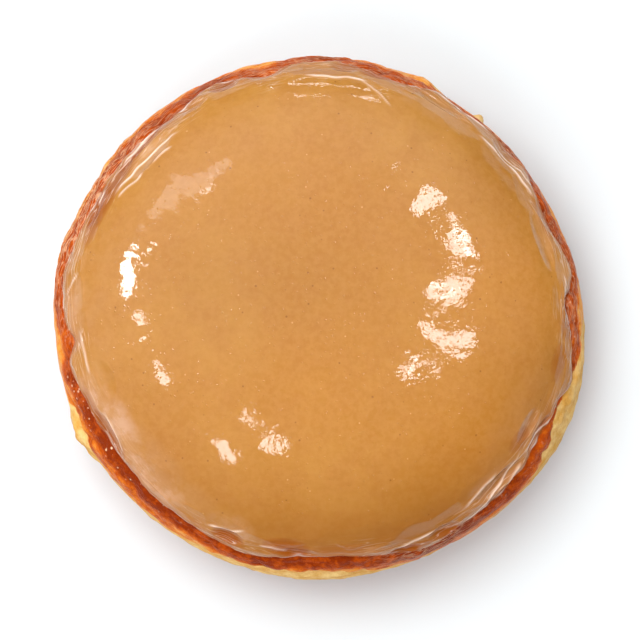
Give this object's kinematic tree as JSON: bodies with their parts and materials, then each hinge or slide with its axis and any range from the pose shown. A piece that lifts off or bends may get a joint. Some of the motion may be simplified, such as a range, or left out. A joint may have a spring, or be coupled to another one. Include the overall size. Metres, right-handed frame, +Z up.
{
  "type": "cream-filled doughnut",
  "caption": "Round yeast doughnut without a hole, flat beneath, with a browned crust, a pale collar round its side and a thin glossy icing over its domed top.",
  "frame": {"origin": "middle of the flat spot that the doughnut rests on, below the middle of its box", "axes": "+Z up through the crown, -Y towards the camera's side of the picture, +X to the picture's right"},
  "size_m": [0.093, 0.0919, 0.0387],
  "materials": {
    "crust": "fried crust, reddish brown, with a paler collar",
    "icing": "set caramel icing, smooth and glossy"
  },
  "bodies": {
    "root": {"dough": "crust", "icing": "icing"}
  },
  "joints": []
}
